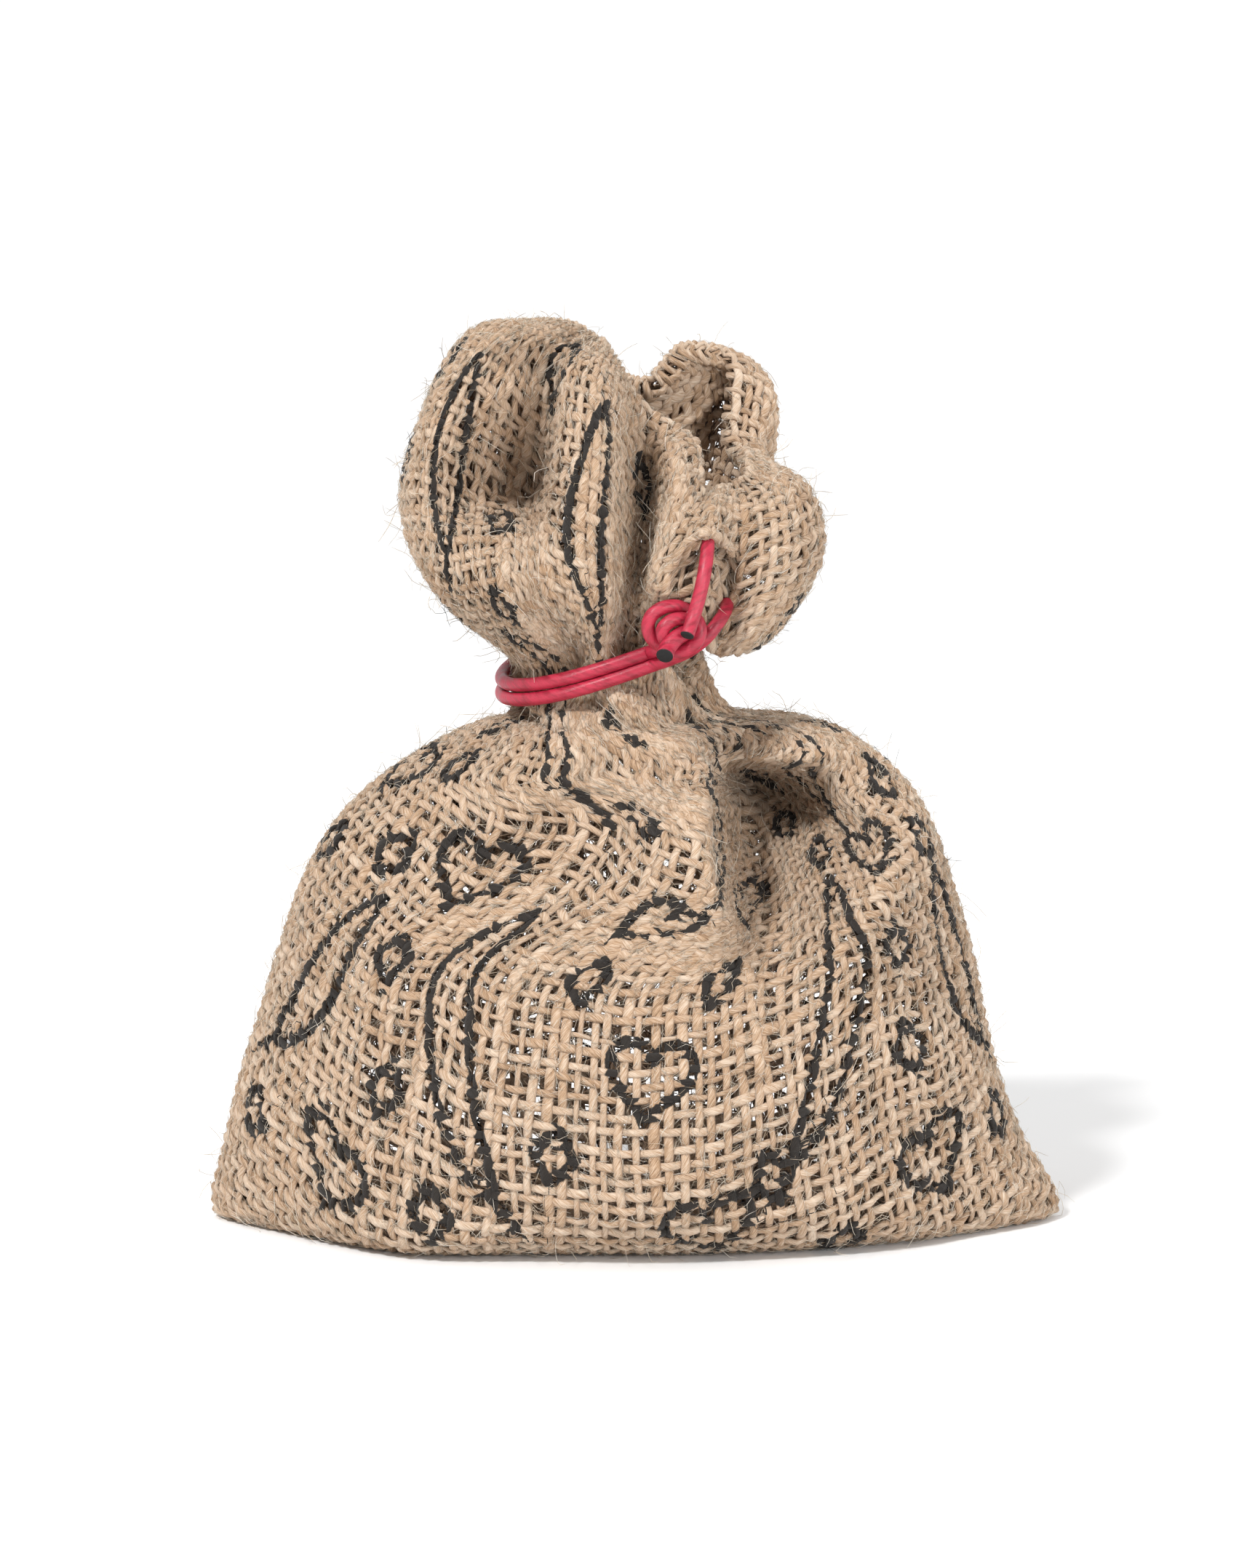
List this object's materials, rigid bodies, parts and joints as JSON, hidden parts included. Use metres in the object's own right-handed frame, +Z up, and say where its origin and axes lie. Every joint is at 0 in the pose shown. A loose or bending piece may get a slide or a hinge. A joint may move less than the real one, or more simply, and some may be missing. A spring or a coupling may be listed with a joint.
{
  "type": "hessian sack",
  "caption": "Small hollow hessian drawstring sack standing filled out, with printed cloth, a gathered ruffled mouth and a waxed red cord knotted round its neck.",
  "frame": {"origin": "on the floor under the middle of the sack, at the flat underside", "axes": "+Z up, the printed front with the knot faces -Y, +X to the right as seen from the front"},
  "size_m": [0.1321, 0.0776, 0.1412],
  "materials": {
    "hessian": "natural jute plain weave, matt and hairy, printed with black line motifs",
    "waxed_cord": "waxed cotton cord, red, slight gloss, dark core at the cut ends"
  },
  "bodies": {
    "root": {"sack": "hessian", "ruffle": "hessian", "upper_turn": "waxed_cord", "lower_turn": "waxed_cord", "knot_turn": "waxed_cord", "strand": "waxed_cord", "cut_end": "waxed_cord"}
  },
  "joints": []
}
